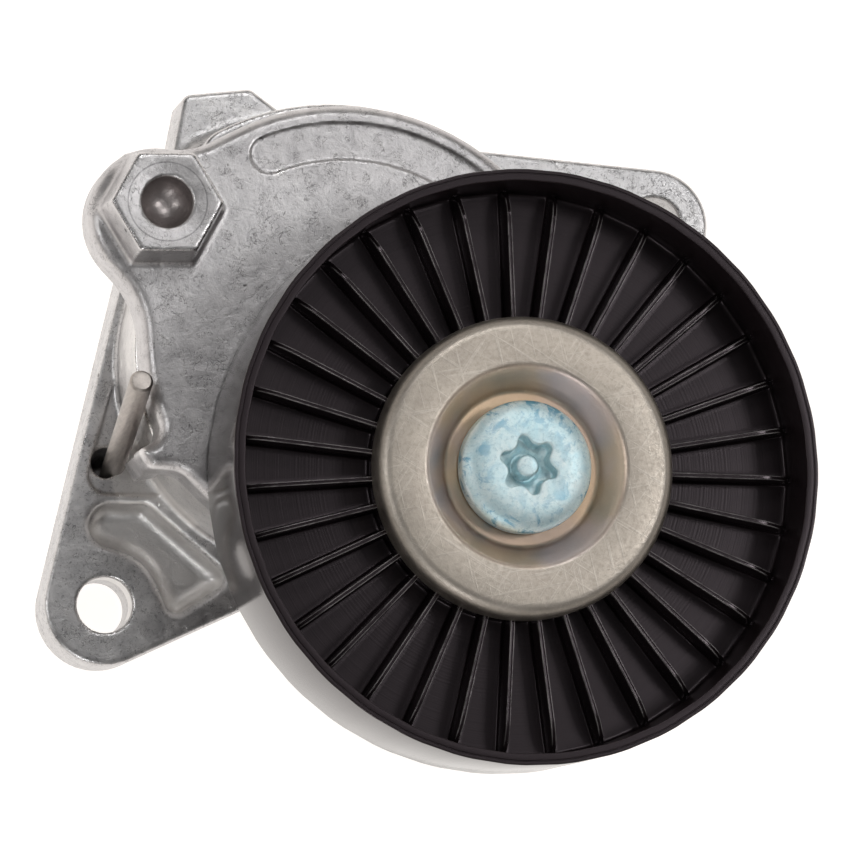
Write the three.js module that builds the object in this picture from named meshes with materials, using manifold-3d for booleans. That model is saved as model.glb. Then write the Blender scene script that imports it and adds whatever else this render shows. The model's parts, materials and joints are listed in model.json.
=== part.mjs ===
// Belt tensioner idler: a spring-loaded arm on a cast housing carries a flat-faced
// ribbed pulley on a ball bearing, and a pin locks the arm for fitting.
// Millimetres, +Z up. The origin is on the arm's pivot axis at the housing's mounting face.
import * as THREE from 'three';
import { mergeVertices } from 'three/addons/utils/BufferGeometryUtils.js';
import Module from 'manifold-3d';

const wasm = await Module();
wasm.setup();

// ---------------------------------------------------------------- driving dimensions
const PLATE_TOP = 11;
const EAR_HOLE_R = 4.3;
const EARS = [
  { x: -34.2, y: -36.7, r: 9.4 },
  { x: 55, y: 23.3, r: 8.8 },
];

const DRUM_R = 31.6;
const DRUM_BORE_R = 28.6;
const DRUM_FLOOR = 4;
const DRUM_TOP = 28.2;
const DRUM_POST_R = 12.5;
const SHOULDER_R = 38.6;
const SHOULDER_SPAN = [62, 118];
const STEP_DEPTH = 0.5;

const ARM_BOTTOM = 28.5;
const ARM_TOP = 36.5;
const ARM_HEAD_R = 37.1;
const ARM_DISC_R = 31.3;
const ARM_HUB_R = 13;
const ARM_HUB_BOTTOM = 10.2;
const ARM_BOSS_R = 15;
const PULLEY_BOSS_R = 11.3;
const ARM_SKIRT = { inner: 24.4, outer: 26.6, bottom: 20 };
const ARM_BORE_R = 9.6;
const ARM_COUNTERBORE = { r: 12.2, bottom: 33.6 };
const KIDNEY = { inner: 28.4, outer: 34.2, from: 36, to: 112, depth: 0.4 };
const TOOTH = { inner: 32.1, outer: 35.3, bottom: 16, lead: 206.2, outerEnd: 211.4, innerEnd: 213.4 };

const HEX = { x: -28.5, y: 20.5, acrossFlats: 14.7, top: 43.6, draft: 0.9 };
const HEX_LOBE = { x: -28.7, y: 19.5, r: 10.6 };
const HEX_RECESS_R = 4.15;
const HEX_RECESS_DEPTH = 4.4;

const SHAFT_R = 7.5;
const SHAFT_BOTTOM = 1.5;
const SHAFT_TOP = 37;
const SHAFT_GROOVE = { r: 6.5, bottom: 35.2, top: 36.1 };
const BUSH = { inner: 7.58, outer: 9.3, top: 33.3 };
const THRUST_WASHER = { inner: 7.6, outer: 11.9, bottom: 33.9, top: 34.9 };
const RETAINING_RING = { inner: 6.8, outer: 10.4, bottom: 35.25, top: 36.05 };
const SPRING_SEAT = { inner: 15.2, outer: 26.4, top: 6.2 };
const DAMPING_RING = { inner: 26.9, bottom: 19, top: 27.8 };

const PULLEY = { x: 21.4, y: -21.1, r: 44, back: 38, front: 61 };
const RIM_INNER_R = 42.2;
const WEB_FRONT = 50.1;
const WEB_BACK = 47.4;
const HUB_R = 22;
const HUB_FRONT = 55.1;
const HUB_BACK = 40.6;
const RIB_COUNT = 35;
const RIB_PHASE = 8.4;
const RIB_THICK = 0.9;
const RIB_TOP = 54.9;
const RIB_ROLL_R = 37.5;
const RIB_END_Z = 51.4;
const REAR_RIB_BOTTOM = 41.4;

const BEARING = { bore: 17, outer: 39.5, bottom: 42.1, top: 54.1, pitchR: 14.25, ballR: 3.37 };
const BALL_COUNT = 8;
const RACE_CLEARANCE = 0.28;
const INNER_SHOULDER_R = 12.1;
const OUTER_SHOULDER_R = 16.5;
const OUTER_RING_LIP_R = 18.8;
const CAGE = { inner: 12.7, outer: 15.9, half: 4.3 };
const SEAL = { inner: 12.5, outer: 16.2, thick: 0.7, inset: 0.3 };
const SHIELD_R = 18.4;

const CAP_R = 22.4;
const CAP_RIM = 56.2;
const CAP_TOP = 59.8;
const CAP_FLOOR = 55.5;
const CAP_SHEET = 1.1;

const BOLT = { headR: 9.8, headBottom: 55.8, top: 60.7, shankR: 5, tip: 29.4 };
const TORX_OUTER_R = 4.43;
const TORX_INNER_R = 3.25;
const TORX_DEPTH = 3.2;
const TORX_PHASE = 41;
const TORX_POST = { r: 1.5, below: 0.9 };

const PIN_R = 1.75;
const PIN_BOTTOM = 3;
const PIN_TOP = 43;
const PIN_FOOT = new THREE.Vector3(-32.2, -14.7, PLATE_TOP);
const PIN_LEAN = new THREE.Vector3(-0.7, 8.3, 32).normalize();

// Plan outlines as chains of circles; a negative radius is a hollow corner.
const PLATE_PLAN = [
  EARS[0],
  { x: 0, y: 0, r: DRUM_R - 2.2 },
  EARS[1],
  { x: 0.5, y: 40.3, r: -3 },
  { x: -9.95, y: 42.96, r: 1.2 },
  { x: -18.98, y: 41.63, r: 1.6 },
  { x: -27.9, y: 36.3, r: -6 },
  { x: -21.27, y: 18.18, r: 8 },
];
const POCKET_PLAN = [
  { x: -22.9, y: -36.1, r: 1.8 },
  { x: -17.4, y: -32.6, r: 1.8 },
  { x: -28.2, y: -23.5, r: 2.2 },
  { x: -33, y: -24.4, r: 3.2 },
  { x: EARS[0].x, y: EARS[0].y, r: -8.9 },
];
const STEP_PLAN = [
  { x: -33.4, y: -16.6, r: 3 },
  { x: -24.5, y: -15.6, r: 4.2 },
  { x: -27, y: -3, r: 4 },
  { x: -31.2, y: -1.8, r: 0.8 },
];
const ARM_PLAN = [
  { x: 0, y: 0, r: ARM_HEAD_R },
  { x: -25.2, y: 39.8, r: -9.9 },
  HEX_LOBE,
  { x: -45.3, y: 1.3, r: -13.9 },
  { x: 0, y: 0, r: ARM_DISC_R },
  { x: -31.9, y: -12.4, r: -2.8 },
  { x: -31.4, y: -16.1, r: 0.8 },
  { x: -30.3, y: -17.8, r: 0.8 },
  { x: -27.9, y: -22.7, r: -3.9 },
  { x: 0, y: 0, r: ARM_DISC_R + 0.6 },
  { x: PULLEY.x, y: PULLEY.y, r: ARM_BOSS_R },
];

const SPRING = { meanR: 20, wireR: 2.1, bottom: 8.7, top: 26, turns: 3.8 };

const GAP = 0.3;
const ARC_STEP = 12;
const ROUND = 56;
const SMALL_ROUND = 32;

// ---------------------------------------------------------------- materials
const FINISH = {
  castAluminium: { color: 0xb4b3b1, roughness: 0.5, metalness: 0.9 },
  castArm: { color: 0xbdbcba, roughness: 0.48, metalness: 0.9 },
  polyamide: { color: 0x17171a, roughness: 0.35, metalness: 0 },
  zincPlate: { color: 0xa9a59d, roughness: 0.32, metalness: 1 },
  blueZinc: { color: 0xa9c6d2, roughness: 0.3, metalness: 1 },
  steel: { color: 0xa09a94, roughness: 0.35, metalness: 1 },
  springSteel: { color: 0x4c4f55, roughness: 0.4, metalness: 1 },
  bronze: { color: 0x9a7b4c, roughness: 0.4, metalness: 1 },
  sealRubber: { color: 0x2a2320, roughness: 0.7, metalness: 0 },
  liner: { color: 0x4a3a2a, roughness: 0.6, metalness: 0 },
};

const part = new THREE.Group();

// ---------------------------------------------------------------- helpers
const degrees = (angle) => THREE.MathUtils.degToRad(angle);

function polar(radius, angle, x = 0, y = 0) {
  const a = degrees(angle);
  return new THREE.Vector2(x + radius * Math.cos(a), y + radius * Math.sin(a));
}

// Closed triangle mesh with shared vertices and no collapsed triangles.
function welded(geometry) {
  const bare = geometry.clone();
  bare.deleteAttribute('normal');
  bare.deleteAttribute('uv');
  const merged = mergeVertices(bare, 1e-4);
  const index = merged.index.array;
  const kept = [];
  for (let i = 0; i < index.length; i += 3) {
    const [a, b, c] = [index[i], index[i + 1], index[i + 2]];
    if (a !== b && b !== c && c !== a) kept.push(a, b, c);
  }
  const vertProperties = new Float32Array(merged.attributes.position.array);
  return { numProp: 3, vertProperties, triVerts: new Uint32Array(kept) };
}

const solid = (geometry) => new wasm.Manifold(new wasm.Mesh(welded(geometry)));

function geometryOf(manifold) {
  const mesh = manifold.getMesh();
  const geometry = new THREE.BufferGeometry();
  geometry.setAttribute('position', new THREE.BufferAttribute(mesh.vertProperties, 3));
  geometry.setIndex(new THREE.BufferAttribute(mesh.triVerts, 1));
  geometry.computeVertexNormals();
  return geometry;
}

// Turns [radius, height] points, counter-clockwise with radius to the right, about +Z.
function turned(profile, segments = ROUND) {
  const points = profile.map(([r, z]) => new THREE.Vector2(r, z));
  if (profile[0][0] > 0) points.push(points[0].clone());
  const geometry = new THREE.LatheGeometry(points, segments);
  geometry.rotateX(Math.PI / 2);
  return geometry;
}

const ring = (inner, outer, bottom, top, segments) =>
  turned([[inner, bottom], [outer, bottom], [outer, top], [inner, top]], segments);

const ringOf = ({ inner, outer, bottom, top }, from = bottom) =>
  ring(inner, outer, from, top, SMALL_ROUND);

const rod = (radius, bottom, top, segments) =>
  turned([[0, bottom], [radius, bottom], [radius, top], [0, top]], segments);

// Extrudes a flat shape from one height to another, with its two end edges chamfered.
function raised(shape, bottom, top, chamfer = 0, curveSegments = 8) {
  const geometry = new THREE.ExtrudeGeometry(shape, {
    depth: top - bottom - 2 * chamfer,
    bevelEnabled: chamfer > 0,
    bevelThickness: chamfer,
    bevelSize: chamfer,
    bevelOffset: -chamfer,
    bevelSegments: 1,
    curveSegments,
  });
  geometry.translate(0, 0, bottom + chamfer);
  return geometry;
}

// Outline that runs counter-clockwise round a chain of circles, joined by their tangents.
// A positive radius is a round corner that bulges out, a negative one a hollow corner.
function outline(circles) {
  const heading = circles.map((from, i) => {
    const to = circles[(i + 1) % circles.length];
    const dx = to.x - from.x;
    const dy = to.y - from.y;
    const turn = THREE.MathUtils.clamp((from.r - to.r) / Math.hypot(dx, dy), -1, 1);
    return Math.atan2(dy, dx) + Math.asin(turn);
  });
  const points = [];
  circles.forEach(({ x, y, r }, i) => {
    const before = heading[(i + circles.length - 1) % circles.length] - Math.PI / 2;
    const sweep = Math.sign(r) * THREE.MathUtils.euclideanModulo(
      Math.sign(r) * (heading[i] - Math.PI / 2 - before), 2 * Math.PI);
    const steps = Math.max(2, Math.ceil(Math.abs(sweep) / degrees(ARC_STEP)));
    for (let k = 0; k <= steps; k += 1) {
      const angle = before + (sweep * k) / steps;
      points.push(new THREE.Vector2(x + r * Math.cos(angle), y + r * Math.sin(angle)));
    }
  });
  return new THREE.Shape(points);
}

// Part of a flat ring with round ends, from one angle up to another.
function ringSector(innerR, outerR, from, to) {
  const middle = (innerR + outerR) / 2;
  const half = (outerR - innerR) / 2;
  const [a, b] = [degrees(from), degrees(to)];
  const end = polar(middle, to);
  const start = polar(middle, from);
  const shape = new THREE.Shape();
  shape.absarc(0, 0, outerR, a, b, false);
  shape.absarc(end.x, end.y, half, b, b + Math.PI, false);
  shape.absarc(0, 0, innerR, b, a, true);
  shape.absarc(start.x, start.y, half, a + Math.PI, a + 2 * Math.PI, false);
  return shape;
}

function disc(x, y, radius) {
  const shape = new THREE.Shape();
  shape.absarc(x, y, radius, 0, 2 * Math.PI, false);
  return shape;
}

function add(name, geometry, finish, place = [0, 0, 0]) {
  const mesh = new THREE.Mesh(geometry, new THREE.MeshStandardMaterial(FINISH[finish]));
  mesh.name = name;
  mesh.position.set(...place);
  part.add(mesh);
  return mesh;
}

// A rod of the given radius along the locking pin's leaning axis.
function leaningRod(radius, bottomZ, topZ, chamfer = 0) {
  const length = (topZ - bottomZ) / PIN_LEAN.z;
  const blunt = [[0, 0], [radius, 0], [radius, length], [0, length]];
  const eased = [[0, 0], [radius - chamfer, 0], [radius, chamfer],
    [radius, length - chamfer], [radius - chamfer, length], [0, length]];
  const geometry = turned(chamfer > 0 ? eased : blunt, 24);
  const foot = PIN_FOOT.clone().addScaledVector(PIN_LEAN, (bottomZ - PIN_FOOT.z) / PIN_LEAN.z);
  geometry.applyQuaternion(new THREE.Quaternion().setFromUnitVectors(new THREE.Vector3(0, 0, 1), PIN_LEAN));
  geometry.translate(foot.x, foot.y, foot.z);
  return geometry;
}

// ---------------------------------------------------------------- cast housing
function baseHousing() {
  const plate = outline(PLATE_PLAN);
  // Lightening pocket that curves round the lower left ear.
  const pocket = outline(POCKET_PLAN);
  const shoulder = ringSector(DRUM_BORE_R + 0.5, SHOULDER_R, ...SHOULDER_SPAN);
  // Shallow step in the plate's top round the locking pin's hole.
  const step = raised(outline(STEP_PLAN), PLATE_TOP - STEP_DEPTH, PLATE_TOP + 1);
  let housing = solid(raised(plate, 0, PLATE_TOP, 0.8))
    .subtract(solid(step))
    .add(solid(rod(DRUM_R, 0, DRUM_TOP)))
    .add(solid(raised(shoulder, 1, DRUM_TOP)));
  housing = housing.subtract(solid(rod(DRUM_BORE_R, DRUM_FLOOR, DRUM_TOP + 1)));
  housing = housing.add(solid(rod(DRUM_POST_R, 1, ARM_HUB_BOTTOM - 0.4, SMALL_ROUND)));
  housing = housing.subtract(solid(rod(SHAFT_R + GAP, SHAFT_BOTTOM - GAP, DRUM_TOP, SMALL_ROUND)));
  housing = housing.subtract(solid(raised(pocket, PLATE_TOP - 4, PLATE_TOP + 1, 0, 6)));
  for (const ear of EARS) {
    housing = housing.subtract(solid(raised(disc(ear.x, ear.y, EAR_HOLE_R), -1, PLATE_TOP + 1, 0, 12)));
  }
  return housing.subtract(solid(leaningRod(PIN_R + GAP + 0.2, PIN_BOTTOM - GAP, PLATE_TOP + 3)));
}

// ---------------------------------------------------------------- tensioner arm
function hexBoss() {
  const height = HEX.top - ARM_TOP + 1;
  const cornerR = HEX.acrossFlats / Math.sqrt(3);
  const geometry = new THREE.CylinderGeometry(cornerR, cornerR + HEX.draft, height, 6);
  geometry.rotateX(Math.PI / 2);
  geometry.rotateZ(Math.PI / 6);
  geometry.translate(HEX.x, HEX.y, HEX.top - height / 2);
  return geometry;
}

function hexRecess() {
  const lead = 1.1;
  const bottom = HEX.top - HEX_RECESS_DEPTH;
  const geometry = turned([
    [0, bottom - 2], [HEX_RECESS_R * 0.6, bottom - 1.5], [HEX_RECESS_R, bottom + 0.6],
    [HEX_RECESS_R, HEX.top - lead], [HEX_RECESS_R + lead + 0.5, HEX.top + 0.5], [0, HEX.top + 0.5],
  ], 20);
  geometry.translate(HEX.x, HEX.y, 0);
  return geometry;
}

// The stop tooth hangs down outside the drum and rests against the locking pin.
function stopTooth() {
  const shape = new THREE.Shape([
    polar(TOOTH.inner, TOOTH.lead), polar(TOOTH.outer, TOOTH.lead),
    polar(TOOTH.outer, TOOTH.outerEnd), polar(TOOTH.inner, TOOTH.innerEnd),
  ]);
  return raised(shape, TOOTH.bottom, ARM_TOP - 1);
}

function tensionArm() {
  const boss = rod(PULLEY_BOSS_R, ARM_TOP - 1, HUB_BACK, SMALL_ROUND);
  boss.translate(PULLEY.x, PULLEY.y, 0);
  const boltHole = rod(BOLT.shankR + GAP, ARM_BOTTOM - 1, HUB_BACK + 1, 24);
  boltHole.translate(PULLEY.x, PULLEY.y, 0);
  let arm = solid(raised(outline(ARM_PLAN), ARM_BOTTOM, ARM_TOP, 0.6))
    .add(solid(rod(ARM_HUB_R, ARM_HUB_BOTTOM, ARM_BOTTOM + 1, SMALL_ROUND)))
    .add(solid(ring(ARM_SKIRT.inner, ARM_SKIRT.outer, ARM_SKIRT.bottom, ARM_BOTTOM + 1)))
    .add(solid(boss))
    .add(solid(stopTooth()))
    .add(solid(hexBoss()));
  arm = arm.subtract(solid(hexRecess()));
  arm = arm.subtract(solid(boltHole));
  arm = arm.subtract(solid(rod(ARM_BORE_R, ARM_HUB_BOTTOM - 1, ARM_TOP + 1, SMALL_ROUND)));
  const { r, bottom } = ARM_COUNTERBORE;
  arm = arm.subtract(solid(rod(r, bottom, ARM_TOP + 1, SMALL_ROUND)));
  const kidney = ringSector(KIDNEY.inner, KIDNEY.outer, KIDNEY.from, KIDNEY.to);
  return arm.subtract(solid(raised(kidney, ARM_TOP - KIDNEY.depth, ARM_TOP + 1)));
}

// ---------------------------------------------------------------- ribbed pulley
// Side view of one rib: the front edge is level, then rolls down into the rim.
function ribProfile(inner, top, endZ, web) {
  const shape = new THREE.Shape();
  shape.moveTo(inner, web);
  shape.lineTo(RIM_INNER_R + 0.5, web);
  shape.lineTo(RIM_INNER_R + 0.5, endZ);
  shape.quadraticCurveTo(RIM_INNER_R - 1, top, RIB_ROLL_R, top);
  shape.lineTo(inner, top);
  return shape;
}

function ribs(shape, wheel) {
  let joined = wheel;
  for (let i = 0; i < RIB_COUNT; i += 1) {
    const rib = raised(shape, 0, RIB_THICK, 0, 3);
    rib.translate(0, 0, -RIB_THICK / 2);
    rib.rotateX(Math.PI / 2);
    rib.rotateZ(degrees(RIB_PHASE + (360 / RIB_COUNT) * i));
    joined = joined.add(solid(rib));
  }
  return joined;
}

function pulleyWheel() {
  const wheel = solid(turned([
    [RIM_INNER_R, PULLEY.back], [PULLEY.r - 0.6, PULLEY.back], [PULLEY.r, PULLEY.back + 0.6],
    [PULLEY.r, PULLEY.front - 0.6], [PULLEY.r - 0.6, PULLEY.front], [RIM_INNER_R, PULLEY.front],
    [RIM_INNER_R, WEB_FRONT], [HUB_R, WEB_FRONT], [HUB_R, HUB_FRONT],
    [BEARING.outer / 2 + GAP, HUB_FRONT],
    [BEARING.outer / 2 + GAP, BEARING.bottom - GAP], [OUTER_RING_LIP_R, BEARING.bottom - GAP],
    [OUTER_RING_LIP_R, HUB_BACK],
    [HUB_R, HUB_BACK], [HUB_R, WEB_BACK], [RIM_INNER_R, WEB_BACK],
  ], 2 * RIB_COUNT));
  const front = ribProfile(HUB_R - 0.8, RIB_TOP, RIB_END_Z, WEB_FRONT - 0.5);
  const rear = new THREE.Shape([
    [HUB_R - 0.8, REAR_RIB_BOTTOM + 2], [HUB_R + 2, REAR_RIB_BOTTOM],
    [RIM_INNER_R - 2, REAR_RIB_BOTTOM], [RIM_INNER_R + 0.5, REAR_RIB_BOTTOM + 2],
    [RIM_INNER_R + 0.5, WEB_BACK + 0.5], [HUB_R - 0.8, WEB_BACK + 0.5],
  ].map(([r, z]) => new THREE.Vector2(r, z)));
  return ribs(rear, ribs(front, wheel));
}

// ---------------------------------------------------------------- ball bearing
// Half-round race groove as [radius, height] points; side is +1 when it opens outwards.
function groove(side, steps = 4) {
  const grooveR = BEARING.ballR + RACE_CLEARANCE;
  const shoulder = side > 0 ? INNER_SHOULDER_R : OUTER_SHOULDER_R;
  const middle = (BEARING.bottom + BEARING.top) / 2;
  const reach = Math.acos(Math.abs(shoulder - BEARING.pitchR) / grooveR);
  return Array.from({ length: steps + 1 }, (_, i) => {
    const a = reach * ((2 * i) / steps - 1);
    return [BEARING.pitchR - side * grooveR * Math.cos(a), middle + grooveR * Math.sin(a)];
  });
}

function innerRing() {
  return turned([
    [BEARING.bore / 2, BEARING.bottom], [INNER_SHOULDER_R, BEARING.bottom], ...groove(1),
    [INNER_SHOULDER_R, BEARING.top], [BEARING.bore / 2, BEARING.top],
  ], SMALL_ROUND);
}

function outerRing() {
  return turned([
    [OUTER_SHOULDER_R, BEARING.bottom], [BEARING.outer / 2, BEARING.bottom],
    [BEARING.outer / 2, BEARING.top], [OUTER_SHOULDER_R, BEARING.top], ...groove(-1).reverse(),
  ], SMALL_ROUND);
}

function ballPlaces() {
  const middle = (BEARING.bottom + BEARING.top) / 2;
  return Array.from({ length: BALL_COUNT }, (_, i) => {
    const at = polar(BEARING.pitchR, (360 / BALL_COUNT) * i, PULLEY.x, PULLEY.y);
    return [at.x, at.y, middle];
  });
}

function cage() {
  const middle = (BEARING.bottom + BEARING.top) / 2;
  let body = solid(ring(CAGE.inner, CAGE.outer, middle - CAGE.half, middle + CAGE.half, SMALL_ROUND));
  for (const [x, y, z] of ballPlaces()) {
    const pocket = new THREE.SphereGeometry(BEARING.ballR + GAP, 10, 6);
    pocket.translate(x - PULLEY.x, y - PULLEY.y, z);
    body = body.subtract(solid(pocket));
  }
  return body;
}

// ---------------------------------------------------------------- cap, bolt and pin
function dustCap() {
  const under = CAP_FLOOR - CAP_SHEET;
  const landUnder = CAP_TOP - CAP_SHEET;
  const bore = BOLT.shankR + 0.4;
  return turned([
    [bore, under], [11.5, under], [15.5, landUnder], [19.9, landUnder], [21, CAP_TOP - 2.1],
    [21.3, CAP_RIM], [CAP_R, CAP_RIM], [CAP_R - 0.1, CAP_TOP - 1.9], [21.5, CAP_TOP - 0.6],
    [20, CAP_TOP], [15.1, CAP_TOP], [14.1, CAP_TOP - 0.7], [11.6, CAP_FLOOR + 0.4],
    [11, CAP_FLOOR], [bore, CAP_FLOOR],
  ], 40);
}

// Six-lobed socket with a round post left standing in the middle.
function boltSocket() {
  const shape = new THREE.Shape();
  const steps = 30;
  const swing = (TORX_OUTER_R - TORX_INNER_R) / 2;
  for (let i = 0; i < steps; i += 1) {
    const angle = (360 / steps) * i;
    const wave = Math.cos(degrees(6 * (angle - TORX_PHASE)));
    const at = polar(TORX_INNER_R + swing * (1 + wave), angle);
    if (i === 0) shape.moveTo(at.x, at.y);
    else shape.lineTo(at.x, at.y);
  }
  const post = rod(TORX_POST.r, BOLT.top - TORX_DEPTH - 1, BOLT.top - TORX_POST.below, 16);
  return solid(raised(shape, BOLT.top - TORX_DEPTH, BOLT.top + 1)).subtract(solid(post));
}

function pulleyBolt() {
  const body = turned([
    [0, BOLT.tip], [BOLT.shankR - 1, BOLT.tip], [BOLT.shankR, BOLT.tip + 1], [BOLT.shankR, BOLT.headBottom],
    [BOLT.headR, BOLT.headBottom], [BOLT.headR, BOLT.top - 2.2], [BOLT.headR - 0.9, BOLT.top - 0.8],
    [BOLT.headR - 2.8, BOLT.top], [0, BOLT.top],
  ], SMALL_ROUND);
  return solid(body).subtract(boltSocket());
}

// ---------------------------------------------------------------- torsion spring
class Coil extends THREE.Curve {
  getPoint(t, target = new THREE.Vector3()) {
    const angle = 2 * Math.PI * SPRING.turns * t;
    const z = THREE.MathUtils.lerp(SPRING.bottom, SPRING.top, t);
    return target.set(SPRING.meanR * Math.cos(angle), SPRING.meanR * Math.sin(angle), z);
  }
}

function torsionSpring() {
  return new THREE.ExtrudeGeometry(disc(0, 0, SPRING.wireR), {
    extrudePath: new Coil(),
    steps: Math.round(SPRING.turns * 14),
    curveSegments: 4,
  });
}

// ---------------------------------------------------------------- the assembly
const onPulley = [PULLEY.x, PULLEY.y, 0];

add('base_housing', geometryOf(baseHousing()), 'castAluminium');
add('pivot_shaft', turned([
  [0, SHAFT_BOTTOM], [SHAFT_R, SHAFT_BOTTOM], [SHAFT_R, SHAFT_GROOVE.bottom],
  [SHAFT_GROOVE.r, SHAFT_GROOVE.bottom], [SHAFT_GROOVE.r, SHAFT_GROOVE.top],
  [SHAFT_R, SHAFT_GROOVE.top], [SHAFT_R, SHAFT_TOP - 0.4], [SHAFT_R - 0.4, SHAFT_TOP], [0, SHAFT_TOP],
], SMALL_ROUND), 'steel');
add('spring_seat', ringOf(SPRING_SEAT, DRUM_FLOOR + GAP), 'liner');
add('damping_ring', ring(DAMPING_RING.inner, DRUM_BORE_R - GAP, DAMPING_RING.bottom, DAMPING_RING.top),
  'liner');
add('torsion_spring', torsionSpring(), 'springSteel');

add('tension_arm', geometryOf(tensionArm()), 'castArm');
add('pivot_bush', ringOf(BUSH, ARM_HUB_BOTTOM + 0.2), 'bronze');
add('thrust_washer', ringOf(THRUST_WASHER), 'bronze');
add('retaining_ring', ringOf(RETAINING_RING), 'springSteel');
const overBolt = BOLT.shankR + 0.4;
add('bearing_spacer', ring(overBolt, BEARING.bore / 2 - GAP, BEARING.bottom, BEARING.top, SMALL_ROUND),
  'steel', onPulley);
add('rear_dust_shield', ring(overBolt, SHIELD_R, HUB_BACK + GAP, BEARING.bottom - GAP, SMALL_ROUND),
  'zincPlate', onPulley);
add('bearing_inner_ring', innerRing(), 'steel', onPulley);
add('dust_cap', dustCap(), 'zincPlate', onPulley);
add('pulley_bolt', geometryOf(pulleyBolt()), 'blueZinc', onPulley);

add('pulley_wheel', geometryOf(pulleyWheel()), 'polyamide', onPulley);
add('bearing_outer_ring', outerRing(), 'steel', onPulley);
const frontSeal = BEARING.top - SEAL.inset - SEAL.thick;
const rearSeal = BEARING.bottom + SEAL.inset;
add('bearing_seal_front', ring(SEAL.inner, SEAL.outer, frontSeal, frontSeal + SEAL.thick, SMALL_ROUND),
  'sealRubber', onPulley);
add('bearing_seal_rear', ring(SEAL.inner, SEAL.outer, rearSeal, rearSeal + SEAL.thick, SMALL_ROUND),
  'sealRubber', onPulley);

add('bearing_cage', geometryOf(cage()), 'liner', onPulley);
ballPlaces().forEach((place, i) => {
  add(`bearing_ball_${i + 1}`, new THREE.SphereGeometry(BEARING.ballR, 10, 6), 'steel', place);
});

add('lock_pin', leaningRod(PIN_R, PIN_BOTTOM, PIN_TOP, 0.35), 'steel');

export default part;
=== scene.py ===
import json
import math

import bpy
import numpy as np
from mathutils import Matrix, Vector


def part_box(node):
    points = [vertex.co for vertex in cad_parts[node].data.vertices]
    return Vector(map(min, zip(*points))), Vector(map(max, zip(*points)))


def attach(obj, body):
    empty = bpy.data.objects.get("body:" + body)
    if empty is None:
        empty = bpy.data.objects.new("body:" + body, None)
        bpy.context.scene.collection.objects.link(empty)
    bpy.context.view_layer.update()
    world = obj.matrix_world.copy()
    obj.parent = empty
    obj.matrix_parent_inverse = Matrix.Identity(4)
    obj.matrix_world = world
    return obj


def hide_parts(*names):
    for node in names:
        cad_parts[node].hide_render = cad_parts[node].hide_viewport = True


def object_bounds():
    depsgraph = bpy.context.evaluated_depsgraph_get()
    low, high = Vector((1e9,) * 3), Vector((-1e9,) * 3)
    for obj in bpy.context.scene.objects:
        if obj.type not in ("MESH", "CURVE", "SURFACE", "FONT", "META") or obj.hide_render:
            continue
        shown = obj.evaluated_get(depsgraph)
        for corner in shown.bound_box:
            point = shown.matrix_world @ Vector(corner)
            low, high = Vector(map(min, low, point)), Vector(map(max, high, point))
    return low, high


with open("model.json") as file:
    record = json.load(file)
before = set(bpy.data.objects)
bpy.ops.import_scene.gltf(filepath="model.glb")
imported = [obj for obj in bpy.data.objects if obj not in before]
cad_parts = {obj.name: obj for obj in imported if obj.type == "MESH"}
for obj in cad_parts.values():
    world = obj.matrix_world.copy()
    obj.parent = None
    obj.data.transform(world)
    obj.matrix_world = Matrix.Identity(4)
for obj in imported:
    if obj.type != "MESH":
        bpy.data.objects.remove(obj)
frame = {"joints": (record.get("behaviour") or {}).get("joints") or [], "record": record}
CAD_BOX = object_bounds()
MM = 0.001


# ------------------------------------------------------------------ sizes from the frame
def box_mm(node):
    low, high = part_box(node)
    return np.array(low) / MM, np.array(high) / MM


def joint(name):
    return next(j for j in frame["joints"] if j["name"] == name)


HOUSING_LOW, HOUSING_HIGH = box_mm("base_housing")
ARM_LOW, ARM_HIGH = box_mm("tension_arm")
WHEEL_LOW, WHEEL_HIGH = box_mm("pulley_wheel")
CAP_LOW, CAP_HIGH = box_mm("dust_cap")
BOLT_LOW, BOLT_HIGH = box_mm("pulley_bolt")
PIN_LOW, PIN_HIGH = box_mm("lock_pin")
AXIS = np.array(joint("pulley_spin")["pos_m"][:2]) / MM
PIN_AXIS = Vector(joint("pin_pull")["axis"]).normalized()
EAR_HOLES = [
    (np.array(o["box_m"][0][:2]) + np.array(o["box_m"][1][:2])) / 2 / MM
    for o in frame["record"]["physics"]["openings"]
]
SEATS = {m["name"]: np.array(m["pos_m"]) / MM for m in frame["record"]["mounts"]}

GAP = 0.3
DRUM_TOP = HOUSING_HIGH[2]
DRUM_R = 31.6
DRUM_BORE_R = 28.6
EAR_HOLE_R = 4.3
PLATE_TOP = SEATS["bolt_seat_right"][2]
HEX_CENTRE = SEATS["wrench_hex_top"][:2] + [6.2, 0]
HEX_TOP = SEATS["wrench_hex_top"][2]
ARM_BOTTOM = DRUM_TOP + GAP
ARM_TOP = ARM_BOTTOM + 8
HUB_BACK = box_mm("rear_dust_shield")[0][2] - GAP
WHEEL_R = (WHEEL_HIGH[0] - WHEEL_LOW[0]) / 2
WHEEL_BACK, WHEEL_FRONT = WHEEL_LOW[2], WHEEL_HIGH[2]
RIM_INNER_R = 42.2
HUB_R = 22.0
HUB_FRONT = WHEEL_FRONT - 5.9
WEB_FRONT, WEB_BACK = WHEEL_FRONT - 10.9, WHEEL_FRONT - 13.6
RIBS = 35
RIB_PHASE = math.radians(8.4)
RIB_PITCH = 2 * math.pi / RIBS
# The cap's dished middle.
DISH_R = 14.9
DISH_FLOOR_R = 11.6
BALLS = [f"bearing_ball_{i}" for i in range(1, 9)]
GRID_STEP = 0.42


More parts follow.
